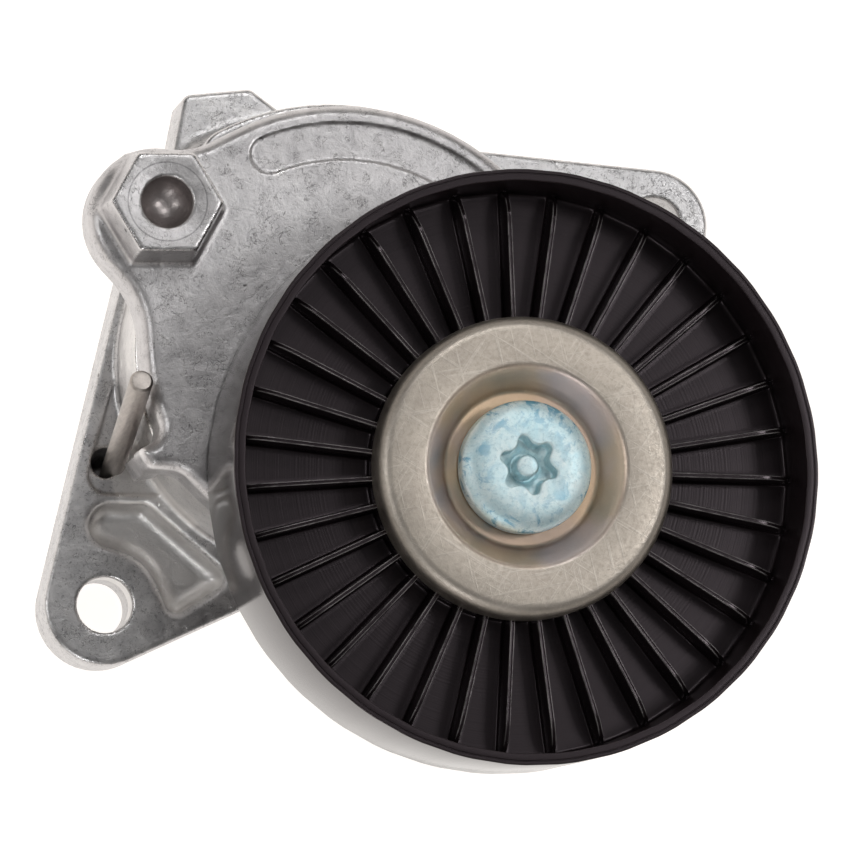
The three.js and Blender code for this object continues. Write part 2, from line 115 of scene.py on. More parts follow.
# ------------------------------------------------------------------ rounded solids
def chain(circles, step=math.radians(5)):
    """Outline that runs counter-clockwise round circles (x, y, r), joined by their tangents.
    A negative radius makes a hollow corner."""
    count = len(circles)
    heading = []
    for i, (x, y, r) in enumerate(circles):
        nx, ny, nr = circles[(i + 1) % count]
        turn = max(-1.0, min(1.0, (r - nr) / math.hypot(nx - x, ny - y)))
        heading.append(math.atan2(ny - y, nx - x) + math.asin(turn))
    points = []
    for i, (x, y, r) in enumerate(circles):
        start = heading[i - 1] - math.pi / 2
        side = math.copysign(1, r)
        sweep = side * ((side * (heading[i] - math.pi / 2 - start)) % (2 * math.pi))
        steps = max(2, math.ceil(abs(sweep) / step))
        for k in range(steps + 1):
            a = start + sweep * k / steps
            points.append((x + r * math.cos(a), y + r * math.sin(a)))
    return np.array(points)


def ring_sector(inner, outer, start, end):
    """Outline of part of a flat ring with round ends, angles in degrees."""
    middle, half = (inner + outer) / 2, (outer - inner) / 2
    points = []

    def arc(cx, cy, r, a0, a1):
        for a in np.radians(np.linspace(a0, a1, max(3, int(abs(a1 - a0) / 4)))):
            points.append((cx + r * math.cos(a), cy + r * math.sin(a)))

    arc(0, 0, outer, start, end)
    ex, ey = middle * math.cos(math.radians(end)), middle * math.sin(math.radians(end))
    arc(ex, ey, half, end, end + 180)
    arc(0, 0, inner, end, start)
    sx, sy = middle * math.cos(math.radians(start)), middle * math.sin(math.radians(start))
    arc(sx, sy, half, start + 180, start + 360)
    return np.array(points)


class Plan:
    """Signed distance to a closed outline, kept on a fine flat grid."""

    STEP = 0.25
    MARGIN = 6.0

    def __init__(self, outline):
        self.low = outline.min(0) - self.MARGIN
        size = outline.max(0) + self.MARGIN - self.low
        nx, ny = (math.ceil(v / self.STEP) + 1 for v in size)
        x = (self.low[0] + self.STEP * np.arange(nx))[:, None]
        y = (self.low[1] + self.STEP * np.arange(ny))[None, :]
        best = np.full((nx, ny), 1e9)
        inside = np.zeros((nx, ny), bool)
        for (ax, ay), (bx, by) in zip(outline, np.roll(outline, -1, 0)):
            dx, dy = bx - ax, by - ay
            length = dx * dx + dy * dy
            if length < 1e-12:
                continue
            t = np.clip(((x - ax) * dx + (y - ay) * dy) / length, 0, 1)
            best = np.minimum(best, (x - ax - t * dx) ** 2 + (y - ay - t * dy) ** 2)
            if ay != by:
                inside ^= ((y >= ay) != (y >= by)) & (x < ax + (y - ay) * dx / dy)
        self.field = np.where(inside, -np.sqrt(best), np.sqrt(best)).astype(np.float32)

    def __call__(self, x, y):
        shape = self.field.shape
        u = np.clip((x - self.low[0]) / self.STEP, 0, shape[0] - 1.001)
        v = np.clip((y - self.low[1]) / self.STEP, 0, shape[1] - 1.001)
        over = np.hypot(u * self.STEP + self.low[0] - x, v * self.STEP + self.low[1] - y)
        u, v = np.broadcast_arrays(u, v)
        i, j = u.astype(int), v.astype(int)
        s, t = u - i, v - j
        f = self.field
        flat = (f[i, j] * (1 - s) * (1 - t) + f[i + 1, j] * s * (1 - t)
                + f[i, j + 1] * (1 - s) * t + f[i + 1, j + 1] * s * t)
        return flat + over


def round_pair(a, b, r):
    """Both a and b, with the edge between them rounded to radius r."""
    return np.minimum(np.maximum(a, b), -r) + np.hypot(np.maximum(a + r, 0), np.maximum(b + r, 0))


def join(a, b, fillet):
    """Either a or b, with the corner between them filled to radius fillet."""
    return np.maximum(np.minimum(a, b), fillet) - np.hypot(
        np.maximum(fillet - a, 0), np.maximum(fillet - b, 0))


def cut(a, b, edge):
    """What is left of a outside b, with the cut's edge rounded."""
    return round_pair(a, -b, edge)


def slab(flat, z, bottom, top, round_top=0.5, round_bottom=0.5):
    """A flat outline's distance raised from bottom to top, with rounded rims."""
    upper = round_pair(flat, z - top, round_top)
    return round_pair(upper, bottom - z, round_bottom)


def drum(x, y, r, cx=0.0, cy=0.0):
    """Distance to an endless upright cylinder."""
    return np.hypot(x - cx, y - cy) - r


def leaning(x, y, z, foot, axis, r):
    """Distance to an endless leaning rod."""
    dx, dy, dz = x - foot[0], y - foot[1], z - foot[2]
    along = dx * axis[0] + dy * axis[1] + dz * axis[2]
    return np.sqrt(np.maximum(dx * dx + dy * dy + dz * dz - along * along, 0)) - r


def surface_net(field, low, high, step):
    """Closed mesh of quads on the zero surface of a distance field."""
    axes = [np.arange(low[i] - 2.5 * step, high[i] + 2.5 * step, step) for i in range(3)]
    f = field(axes[0][:, None, None], axes[1][None, :, None], axes[2][None, None, :])
    f = np.broadcast_to(f, [len(a) for a in axes]).astype(np.float32)
    solid = f < 0
    counts = np.zeros([n - 1 for n in f.shape], np.int16)
    total = np.zeros(counts.shape + (3,), np.float32)

    def part(array, corner):
        return array[tuple(slice(c, array.shape[i] - 1 + c) for i, c in enumerate(corner))]

    for axis in range(3):
        others = [i for i in range(3) if i != axis]
        for a in (0, 1):
            for b in (0, 1):
                start = [0, 0, 0]
                start[others[0]], start[others[1]] = a, b
                end = list(start)
                end[axis] = 1
                f0, f1 = part(f, start), part(f, end)
                hit = (f0 < 0) != (f1 < 0)
                t = np.where(hit, f0 / np.where(hit, f0 - f1, 1), 0)
                counts += hit
                total[..., axis] += t
                total[..., others[0]] += hit * a
                total[..., others[1]] += hit * b
    used = counts > 0
    cell = np.argwhere(used)
    points = (cell + total[used] / counts[used][:, None]) * step + [a[0] for a in axes]
    number = np.full(counts.shape, -1, np.int64)
    number[used] = np.arange(len(cell))
    quads = []
    for axis in range(3):
        u, v = [i for i in range(3) if i != axis]
        if axis == 1:
            u, v = v, u
        sides = [slice(None)] * 3
        ahead = list(sides)
        sides[axis] = slice(0, -1)
        ahead[axis] = slice(1, None)
        here, there = solid[tuple(sides)], solid[tuple(ahead)]
        for crossing, flip in ((here & ~there, False), (~here & there, True)):
            at = np.argwhere(crossing)
            corners = []
            for du, dv in ((0, 0), (1, 0), (1, 1), (0, 1)):
                c = at.copy()
                c[:, u] -= 1 - du
                c[:, v] -= 1 - dv
                corners.append(number[c[:, 0], c[:, 1], c[:, 2]])
            quads.append(np.stack(corners[::-1] if flip else corners, 1))
    return points, np.concatenate(quads).tolist()


def settle(field, points, rounds=3, reach=0.05, furthest=0.3):
    """Moves points onto the field's zero surface."""
    for _ in range(rounds):
        x, y, z = points.T
        value = field(x, y, z)
        slope = np.stack([
            field(x + reach, y, z) - field(x - reach, y, z),
            field(x, y + reach, z) - field(x, y - reach, z),
            field(x, y, z + reach) - field(x, y, z - reach),
        ], 1) / (2 * reach)
        size = np.maximum((slope ** 2).sum(1), 0.25)
        points = points + np.clip(-slope * (value / size)[:, None], -furthest, furthest)
    return points


# ------------------------------------------------------------------ meshes
def mesh_object(name, points_mm, faces, material, smooth=True):
    mesh = bpy.data.meshes.new(name)
    mesh.from_pydata((np.asarray(points_mm) * MM).tolist(), [], faces)
    mesh.validate()
    mesh.update()
    if smooth:
        mesh.polygons.foreach_set("use_smooth", [True] * len(mesh.polygons))
    obj = bpy.data.objects.new(name, mesh)
    bpy.context.scene.collection.objects.link(obj)
    mesh.materials.append(material)
    return obj


def place(obj, body, node):
    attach(obj, body)
    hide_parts(node)


def cast(name, field, low, high, material, step=GRID_STEP):
    points, quads = surface_net(field, low, high, step)
    return mesh_object(name, settle(field, points), quads, material)


def rows_mesh(name, rows, material, close_rows=False):
    """Closed mesh from rings of points: each row is an (n, 3) array in millimetres.
    Without close_rows, the first and last rows are capped by a fan to their middle."""
    count, n = len(rows), len(rows[0])
    points = np.concatenate(rows)
    k = np.arange(n)
    nxt = (k + 1) % n
    faces = []
    for r in range(count if close_rows else count - 1):
        a, b = r * n, ((r + 1) % count) * n
        faces += np.stack([a + k, a + nxt, b + nxt, b + k], 1).tolist()
    if not close_rows:
        ends = np.array([rows[0].mean(0), rows[-1].mean(0)])
        points = np.concatenate([points, ends])
        first, last = len(points) - 2, len(points) - 1
        top = (count - 1) * n
        faces += np.stack([k * 0 + first, nxt, k], 1).tolist()
        faces += np.stack([k * 0 + last, top + k, top + nxt], 1).tolist()
    return mesh_object(name, points, faces, material)


def filleted(corners, step=math.radians(15)):
    """Path through (r, z, radius) corners, each rounded to its own radius."""
    path = []
    last = len(corners) - 1
    for i, (r, z, radius) in enumerate(corners):
        here = np.array([r, z])
        if radius <= 0 or i in (0, last):
            path.append(here)
            continue
        before = np.array(corners[i - 1][:2]) - here
        after = np.array(corners[i + 1][:2]) - here
        before /= np.linalg.norm(before)
        after /= np.linalg.norm(after)
        half = math.acos(max(-1, min(1, float(before @ after)))) / 2
        back = radius / math.tan(half)
        middle = here + (before + after) / np.linalg.norm(before + after) * radius / math.sin(half)
        start, end = here + before * back - middle, here + after * back - middle
        a0 = math.atan2(start[1], start[0])
        turn = (math.atan2(end[1], end[0]) - a0 + math.pi) % (2 * math.pi) - math.pi
        for t in np.linspace(0, 1, max(2, math.ceil(abs(turn) / step)) + 1):
            a = a0 + turn * t
            path.append(middle + radius * np.array([math.cos(a), math.sin(a)]))
    return np.array(path)


def round_row(r, z, angle, at=(0.0, 0.0)):
    """Ring of points round an upright axis. r and z are numbers, or one value an angle."""
    return np.stack([at[0] + r * np.cos(angle), at[1] + r * np.sin(angle),
                     np.broadcast_to(z, angle.shape)], 1)


def full_turn(segments):
    return np.linspace(0, 2 * math.pi, segments, endpoint=False)


def turned(name, corners, material, at=(0.0, 0.0), segments=160, closed=True):
    """Turned piece: a closed (r, z, radius) profile, counter-clockwise with r to the right."""
    angle = full_turn(segments)
    rows = [round_row(r, z, angle, at) for r, z in filleted(corners)]
    return rows_mesh(name, rows, material, close_rows=closed)


def ring(name, inner, outer, bottom, top, material, at, edge):
    middle = (inner + outer) / 2
    corners = [(middle, bottom, 0), (outer, bottom, edge), (outer, top, edge),
               (inner, top, edge), (inner, bottom, edge), (middle - 0.01, bottom, 0)]
    return turned(name, corners, material, at, 128)


# ------------------------------------------------------------------ materials
class Nodes:
    """Small wrapper that builds one node-based material. Lengths in it are in metres."""

    def __init__(self, name):
        self.material = bpy.data.materials.new(name)
        self.material.use_nodes = True
        self.tree = self.material.node_tree
        self.shader = self.tree.nodes["Principled BSDF"]
        self.place = self.add("ShaderNodeTexCoord").outputs["Object"]

    def add(self, kind, **values):
        node = self.tree.nodes.new(kind)
        for key, value in values.items():
            setattr(node, key, value)
        return node

    def link(self, source, target):
        self.tree.links.new(source, target)

    def feed(self, node, **inputs):
        for key, value in inputs.items():
            node.inputs[key].default_value = value

    def noise(self, scale, detail=4.0, rough=0.55, distortion=0.0, vector=None):
        node = self.add("ShaderNodeTexNoise")
        self.feed(node, Scale=scale, Detail=detail, Roughness=rough, Distortion=distortion)
        self.link(vector or self.place, node.inputs["Vector"])
        return node.outputs["Fac"]

    def part(self, vector, letter):
        """One of a vector's three numbers, by its letter."""
        node = self.add("ShaderNodeSeparateXYZ")
        self.link(vector, node.inputs[0])
        return node.outputs[letter]

    def stretch(self, x, y, z, vector=None):
        node = self.add("ShaderNodeVectorMath", operation="MULTIPLY")
        self.link(vector or self.place, node.inputs[0])
        node.inputs[1].default_value = (x, y, z)
        return node.outputs[0]

    def ramp(self, value, low, high, from_value=0.0, to_value=1.0):
        node = self.add("ShaderNodeMapRange", clamp=True)
        self.link(value, node.inputs["Value"])
        node.inputs["From Min"].default_value = low
        node.inputs["From Max"].default_value = high
        node.inputs["To Min"].default_value = from_value
        node.inputs["To Max"].default_value = to_value
        return node.outputs["Result"]

    def math(self, operation, a, b=0.0):
        node = self.add("ShaderNodeMath", operation=operation)
        for socket, value in zip(node.inputs, (a, b)):
            if isinstance(value, bpy.types.NodeSocket):
                self.link(value, socket)
            else:
                socket.default_value = value
        return node.outputs[0]

    def times(self, a, b):
        return self.math("MULTIPLY", a, b)

    def plus(self, a, b):
        return self.math("ADD", a, b)

    def minus(self, a, b):
        return self.math("SUBTRACT", a, b)

    def mix(self, factor, a, b):
        node = self.add("ShaderNodeMix", data_type="RGBA")
        for socket, value in ((node.inputs[0], factor), (node.inputs[6], a), (node.inputs[7], b)):
            if isinstance(value, bpy.types.NodeSocket):
                self.link(value, socket)
            elif isinstance(value, (tuple, list)):
                socket.default_value = (*value, 1.0)
            else:
                socket.default_value = value
        return node.outputs[2]

    def bump(self, height, strength, distance_mm):
        node = self.add("ShaderNodeBump")
        node.inputs["Strength"].default_value = strength
        node.inputs["Distance"].default_value = distance_mm * MM
        self.link(height, node.inputs["Height"])
        return node.outputs["Normal"]

    def finish(self, colour=None, roughness=None, normal=None, metallic=None, **fixed):
        for name, value in (("Base Color", colour), ("Roughness", roughness),
                            ("Normal", normal), ("Metallic", metallic)):
            if isinstance(value, bpy.types.NodeSocket):
                self.link(value, self.shader.inputs[name])
            elif value is not None:
                self.shader.inputs[name].default_value = (
                    (*value, 1.0) if isinstance(value, tuple) else value)
        for key, value in fixed.items():
            self.shader.inputs[key.replace("_", " ")].default_value = value
        return self.material


def around_axis(m, centre):
    """Distance from an upright axis, and the place measured from it, as sockets."""
    shift = m.add("ShaderNodeVectorMath", operation="SUBTRACT")
    m.link(m.place, shift.inputs[0])
    shift.inputs[1].default_value = (centre[0] * MM, centre[1] * MM, 0)
    flat = m.stretch(1, 1, 0, shift.outputs[0])
    length = m.add("ShaderNodeVectorMath", operation="LENGTH")
    m.link(flat, length.inputs[0])
    return length.outputs["Value"], shift.outputs[0]


def turning_lines(m, centre, spacing_mm):
    """Fine concentric tool marks round an axis, as a height, and the distance from it."""
    radius, _ = around_axis(m, centre)
    combine = m.add("ShaderNodeCombineXYZ")
    m.link(radius, combine.inputs[0])
    m.link(m.part(m.place, "Z"), combine.inputs[1])
    across = m.stretch(1, 0.15, 1, combine.outputs[0])
    return m.noise(1.0 / (spacing_mm * MM), detail=2, rough=0.6, vector=across), radius


def pointiness(m):
    return m.add("ShaderNodeNewGeometry").outputs["Pointiness"]


def shade(colour, share):
    return tuple(c * share for c in colour)


def fleck_lines(m, scale, width, mask_scale, distortion=1.6):
    """Short thin wandering dark lines, as a 0 to 1 mask."""
    wander = m.noise(scale, detail=2, rough=0.5, distortion=distortion)
    away = m.math("ABSOLUTE", m.minus(wander, 0.5))
    broken = m.ramp(m.noise(mask_scale, detail=3, rough=0.6), 0.52, 0.60)
    return m.times(m.ramp(away, width, width * 0.35), broken)


def cast_aluminium(name, light, dark, speckle, fleck=0.7, edge_gain=0.35, rough=(0.29, 0.46),
                   patches=(), circles=(), soft=0.6):
    """Die-cast surface. Each patch is (x, y, radius, low, high, amount, colour), in
    millimetres: an upright round region with soft edges, whose colour is pulled towards
    the patch's colour: painted light where the housing lies in shade, a darker brown in the hex
    recess.
    Each circle is (x, y, radius, low): a fine turned line above a height."""
    pit, wear_and_glint = (0.04, 0.036, 0.034), (0.90, 0.885, 0.87)
    m = Nodes(name)
    cloud = m.noise(55, detail=4, rough=0.6)
    mottle = m.noise(330, detail=6, rough=0.68, distortion=0.5)
    grain = m.noise(2300, detail=3, rough=0.65, distortion=0.8)
    lines = m.math("MAXIMUM", fleck_lines(m, 420, 0.014, 260), fleck_lines(m, 1100, 0.03, 420))
    pits = m.add("ShaderNodeTexVoronoi", feature="F1")
    m.feed(pits, Scale=330.0, Randomness=1.0)
    m.link(m.place, pits.inputs["Vector"])
    colour = m.mix(m.ramp(mottle, 0.34, 0.66), dark, light)
    colour = m.mix(m.ramp(cloud, 0.62, 0.35, 0.0, 0.35), colour, shade(dark, 0.7))
    specks = m.times(m.ramp(grain, 0.55, 0.68), m.ramp(mottle, 0.62, 0.42, 0.25, 1.0))
    colour = m.mix(m.times(specks, speckle), colour, shade(dark, 0.3))
    colour = m.mix(m.times(lines, fleck), colour, shade(dark, 0.28))
    pitted = m.ramp(m.noise(150, detail=3, rough=0.6), 0.60, 0.64)
    hole = m.times(m.ramp(pits.outputs["Distance"], 0.14, 0.08), pitted)
    colour = m.mix(m.times(hole, 0.8), colour, pit)
    worn = m.ramp(pointiness(m), 0.515, 0.57)
    # Painted shade: concave creases and corners are darkened towards the dark metal.
    hollow = m.ramp(pointiness(m), 0.485, 0.44)
    colour = m.mix(m.times(worn, edge_gain), colour, wear_and_glint)
    colour = m.mix(m.times(hollow, 0.5), colour, shade(dark, 0.4))
    up = m.part(m.place, "Z")
    for x, y, reach, low, high, amount, tone in patches:
        radius, _ = around_axis(m, (x, y))
        inside = m.times(m.ramp(up, low * MM, (low + soft) * MM),
                         m.ramp(up, high * MM, (high - soft) * MM))
        inside = m.times(inside, m.ramp(radius, reach * MM, (reach - soft) * MM))
        colour = m.mix(m.times(inside, amount), colour, tone)
    for x, y, reach, low in circles:
        radius, _ = around_axis(m, (x, y))
        away = m.math("ABSOLUTE", m.minus(radius, reach * MM))
        line = m.times(m.ramp(away, 0.16 * MM, 0.05 * MM),
                       m.ramp(up, low * MM, (low + 0.1) * MM))
        colour = m.mix(m.times(line, 0.6), colour, shade(dark, 0.35))
    roughness = m.ramp(m.plus(mottle, m.times(grain, 0.5)), 0.55, 0.95, *rough)
    polish = m.minus(1.0, m.times(worn, 0.45))
    roughness = m.times(roughness, polish)
    height = m.plus(m.times(grain, 0.45), m.times(mottle, 1.5))
    height = m.minus(height, m.times(hole, 0.9))
    height = m.minus(height, m.times(lines, 0.25))
    return m.finish(colour, roughness, m.bump(height, 0.55, 0.115), 0.92)


def rib_offset(m):
    """How far a point lies to the side of the nearest rib's middle plane."""
    radius, moved = around_axis(m, AXIS)
    angle = m.math("ARCTAN2", m.part(moved, "Y"), m.part(moved, "X"))
    turns = m.math("DIVIDE", m.minus(angle, RIB_PHASE), RIB_PITCH)
    away = m.minus(m.math("FRACT", m.plus(turns, 0.5)), 0.5)
    return m.math("ABSOLUTE", m.times(m.times(away, RIB_PITCH), radius))


def black_plastic():
    m = Nodes("black_polyamide")
    lines, radius = turning_lines(m, AXIS, 0.3)
    streak = m.noise(60, detail=4, rough=0.6)
    dust = m.noise(2600, detail=2, rough=0.6)
    dark, light = (0.0075, 0.0045, 0.0055), (0.012, 0.0085, 0.0095)
    # The last colour here is a painted highlight for the ribs' crest edges.
    dusty, worn_belt, glint_colour = (0.06, 0.052, 0.05), (0.028, 0.024, 0.022), (0.34, 0.32, 0.315)
    colour = m.mix(m.ramp(streak, 0.3, 0.72), dark, light)
    colour = m.mix(m.ramp(dust, 0.70, 0.78, 0.0, 0.35), colour, dusty)
    rim = m.ramp(radius, (WHEEL_R - 2.2) * MM, (WHEEL_R - 1.6) * MM)
    belt = m.ramp(radius, (WHEEL_R - 0.25) * MM, (WHEEL_R - 0.1) * MM)
    colour = m.mix(m.times(belt, 0.8), colour, worn_belt)
    roughness = m.ramp(m.plus(lines, m.times(streak, 0.5)), 0.5, 1.1, 0.27, 0.40)
    ribs = m.ramp(m.part(m.place, "Z"), (WEB_FRONT + 0.4) * MM, (WEB_FRONT + 1.1) * MM)
    roughness = m.mix(m.times(ribs, 0.8), roughness, (0.14, 0.14, 0.14))
    roughness = m.mix(rim, roughness, (0.34, 0.34, 0.34))
    roughness = m.mix(belt, roughness, (0.13, 0.13, 0.13))
    calm = m.math("MAXIMUM", m.times(belt, 0.85), m.times(ribs, 0.8))
    height = m.times(lines, m.minus(1.0, calm))
    # Painted highlight: thin light lines along both edges of each rib's crest stand in for the
    # lamps' glints.
    from_edge = m.math("ABSOLUTE", m.minus(rib_offset(m), 0.27 * MM))
    edge = m.times(m.ramp(from_edge, 0.10 * MM, 0.03 * MM), ribs)
    broken = m.ramp(m.noise(300, detail=3, rough=0.6), 0.35, 0.6, 0.3, 1.0)
    inward = m.ramp(radius, (RIM_INNER_R - 1.2) * MM, (RIM_INNER_R - 2.2) * MM)
    wear_and_glint = m.times(m.times(edge, broken), inward)
    colour = m.mix(m.times(wear_and_glint, 0.8), colour, glint_colour)
    return m.finish(colour, roughness, m.bump(height, 0.7, 0.03), 0.0, IOR=1.40,
                    Specular_Tint=(1.0, 0.86, 0.93, 1))


def scratches(m, directions, scale):
    """Faint straight scratches running several ways, as a 0 to 1 mask."""
    marks = None
    for turn in directions:
        spin = m.add("ShaderNodeMapping")
        spin.inputs["Rotation"].default_value = (0, 0, math.radians(turn))
        spin.vector_type = "TEXTURE"
        spin.inputs["Scale"].default_value = (1 / scale, 33 / scale, 1 / scale)
        m.link(m.place, spin.inputs["Vector"])
        line = m.ramp(m.noise(1.0, detail=2, rough=0.6, vector=spin.outputs[0]), 0.60, 0.68)
        marks = line if marks is None else m.math("MAXIMUM", marks, line)
    return marks


def zinc_sheet():
    m = Nodes("zinc_plate")
    lines, radius = turning_lines(m, AXIS, 0.5)
    cloud = m.noise(150, detail=5, rough=0.65)
    fine = m.noise(1600, detail=4, rough=0.72)
    tint = m.noise(75, detail=2, rough=0.5, distortion=0.5)
    marks = scratches(m, (12, 58, 100, 145), 2200)
    dark, light, speck = (0.41, 0.36, 0.31), (0.52, 0.465, 0.40), (0.33, 0.29, 0.245)
    scratched, wear_and_glint = (0.80, 0.76, 0.70), (0.82, 0.78, 0.73)
    peach, pink, brown = (0.92, 0.70, 0.54), (0.88, 0.72, 0.70), (0.42, 0.29, 0.17)
    colour = m.mix(m.ramp(cloud, 0.3, 0.7), dark, light)
    colour = m.mix(m.ramp(fine, 0.45, 0.72, 0.0, 0.6), colour, speck)
    colour = m.mix(m.times(marks, 0.14), colour, scratched)
    dish = m.ramp(radius, (DISH_R + 0.5) * MM, (DISH_R - 0.5) * MM)
    film = m.mix(m.ramp(tint, 0.42, 0.6), peach, pink)
    colour = m.mix(m.times(dish, 0.85), colour, film)
    floor = m.ramp(radius, (DISH_FLOOR_R + 0.7) * MM, (DISH_FLOOR_R - 0.1) * MM)
    colour = m.mix(m.times(floor, 0.65), colour, brown)
    worn = m.ramp(pointiness(m), 0.51, 0.56)
    colour = m.mix(m.times(worn, 0.6), colour, wear_and_glint)
    roughness = m.ramp(m.plus(cloud, fine), 0.7, 1.3, 0.36, 0.52)
    height = m.plus(m.times(lines, 0.3), m.times(fine, 0.8))
    height = m.plus(height, m.times(marks, 0.25))
    return m.finish(colour, roughness, m.bump(height, 0.45, 0.05), 1.0)


def blue_zinc():
    m = Nodes("blue_zinc")
    radius, _ = around_axis(m, AXIS)
    cloud = m.noise(300, detail=5, rough=0.7, distortion=0.6)
    stain = m.noise(330, detail=5, rough=0.68, distortion=0.7)
    fine = m.noise(1800, detail=4, rough=0.75)
    pale, bright = (0.56, 0.77, 0.82), (0.82, 0.92, 0.92)
    deep, dull = (0.05, 0.33, 0.52), (0.34, 0.52, 0.58)
    colour = m.mix(m.ramp(cloud, 0.32, 0.68), pale, bright)
    edge = m.ramp(radius, 5.0 * MM, 9.8 * MM)
    blue = m.times(m.ramp(stain, 0.51, 0.60), m.plus(0.15, m.times(edge, 0.85)))
    colour = m.mix(m.times(blue, 0.85), colour, deep)
    colour = m.mix(m.ramp(fine, 0.5, 0.72, 0.0, 0.6), colour, dull)
    roughness = m.ramp(m.plus(cloud, fine), 0.7, 1.3, 0.42, 0.6)
    height = m.plus(m.times(fine, 1.2), cloud)
    return m.finish(colour, roughness, m.bump(height, 0.45, 0.05), 0.9)


def drawn_steel(name, tone, across=(1, 1, 0.04), scale=2600, rough=(0.25, 0.42)):
    m = Nodes(name)
    streak = m.noise(scale, detail=3, rough=0.6, vector=m.stretch(*across))
    cloud = m.noise(300, detail=4, rough=0.6)
    colour = m.mix(m.ramp(streak, 0.3, 0.7), shade(tone, 0.7), tone)
    colour = m.mix(m.ramp(cloud, 0.5, 0.75, 0.0, 0.4), colour, shade(tone, 0.5))
    roughness = m.ramp(m.plus(streak, cloud), 0.7, 1.3, *rough)
    return m.finish(colour, roughness, m.bump(streak, 0.25, 0.02), 1.0)


def soft_plastic(name, tone):
    m = Nodes(name)
    cloud = m.noise(160, detail=4, rough=0.6)
    grain = m.noise(900, detail=3, rough=0.65)
    colour = m.mix(m.ramp(cloud, 0.3, 0.7), shade(tone, 0.75), tone)
    roughness = m.ramp(m.plus(cloud, grain), 0.7, 1.3, 0.45, 0.7)
    return m.finish(colour, roughness, m.bump(grain, 0.3, 0.03), 0.0)


def pale_floor():
    m = Nodes("pale_floor")
    cloud = m.noise(3, detail=3, rough=0.5)
    colour = m.mix(m.ramp(cloud, 0.2, 0.8), (0.30, 0.30, 0.30), (0.32, 0.32, 0.32))
    return m.finish(colour, 0.8, None, 0.0, Emission_Color=(1, 0.96, 0.92, 1),
                    Emission_Strength=1.0)


# Colours that patches pull towards: two are painted light on the housing, one a darker brown for
# the hex recess.
PAINTED_LIGHT_METAL, PAINTED_WALL_LIGHT, HEX_RECESS_TONE = (0.93, 0.91, 0.89), (0.93, 0.90, 0.87), (0.3, 0.25, 0.235)
HOUSING_METAL = cast_aluminium(
    "cast_housing", (0.74, 0.725, 0.72), (0.54, 0.53, 0.535), 0.85,
    # Painted light: the pocket floor and the plate beside the drum, shaded by the pulley and arm,
    # are pulled towards near-white.
    patches=[(-25, -28.5, 12, PLATE_TOP - 5, PLATE_TOP - 0.5, 0.75, PAINTED_LIGHT_METAL),
             (-24, -17, 9, PLATE_TOP - 1, PLATE_TOP + 4, 0.7, PAINTED_LIGHT_METAL),
             # Painted light: the drum's outer wall is pulled towards warm white, as if lit from
             # the low left.
             (0, 0, DRUM_R + 1, PLATE_TOP + 1, DRUM_TOP + 1, 0.4, PAINTED_WALL_LIGHT)])
ARM_METAL = cast_aluminium(
    "cast_arm", (0.69, 0.67, 0.67), (0.51, 0.495, 0.50), 0.4, 0.65,
    # The hex recess is pulled towards a darker brown.
    patches=[(*HEX_CENTRE, 4.5, 30, HEX_TOP - 0.5, 0.6, HEX_RECESS_TONE)],
    circles=[(*HEX_CENTRE, 5.95, HEX_TOP - 0.3)])
BLACK = black_plastic()
ZINC = zinc_sheet()
BLUE = blue_zinc()
STEEL = drawn_steel("plain_steel", (0.46, 0.42, 0.39), rough=(0.34, 0.5))
BEARING_STEEL = drawn_steel("bearing_steel", (0.70, 0.69, 0.68), (1, 1, 1), 700, (0.12, 0.22))
SPRING_STEEL = drawn_steel("spring_steel", (0.20, 0.21, 0.23), (1, 1, 1), 1500, (0.3, 0.5))
BRONZE = drawn_steel("bronze", (0.60, 0.44, 0.24), (1, 1, 0.2), 1200, (0.3, 0.5))
RUBBER = soft_plastic("seal_rubber", (0.045, 0.032, 0.028))
LINER = soft_plastic("liner_plastic", (0.20, 0.13, 0.075))


